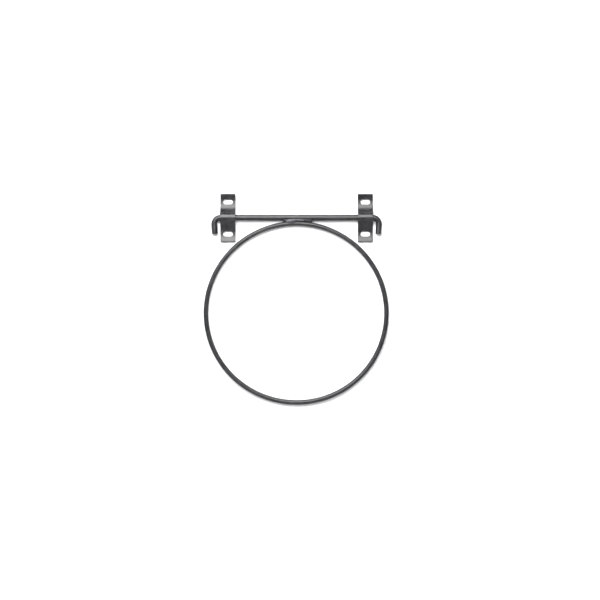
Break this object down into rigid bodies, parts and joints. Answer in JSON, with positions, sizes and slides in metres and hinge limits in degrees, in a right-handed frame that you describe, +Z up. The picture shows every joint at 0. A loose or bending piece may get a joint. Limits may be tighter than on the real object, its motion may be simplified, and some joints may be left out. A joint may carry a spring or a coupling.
{
  "type": "folding wall hoop",
  "caption": "Wall-mounted steel hoop that folds flat: a rod ring welded under a hooked pivot bar that turns in two slotted saddle straps.",
  "frame": {"origin": "on the wall plane, centre of the four screw slots: midway between the two straps and level with the pivot bar", "axes": "+Z up the wall, along the object's longest extent; +Y into the wall, along its shortest extent, so the front faces -Y; X along the pivot bar"},
  "size_m": [0.305, 0.014, 0.35],
  "materials": {
    "strap_paint": "satin",
    "bar_paint": "satin",
    "ring_paint": "satin",
    "weld_paint": "satin"
  },
  "bodies": {
    "wall_brackets": {"left_bracket": "strap_paint", "right_bracket": "strap_paint"},
    "hoop": {"hoop_ring": "ring_paint", "pivot_bar": "bar_paint", "weld_front": "weld_paint", "weld_rear": "weld_paint"}
  },
  "joints": [
    {"name": "hoop_swing", "type": "hinge", "parent": "wall_brackets", "child": "hoop", "pos_m": [0, -0.0055, 0], "axis": [-1, 0, 0], "range_deg": [0, 180]}
  ]
}
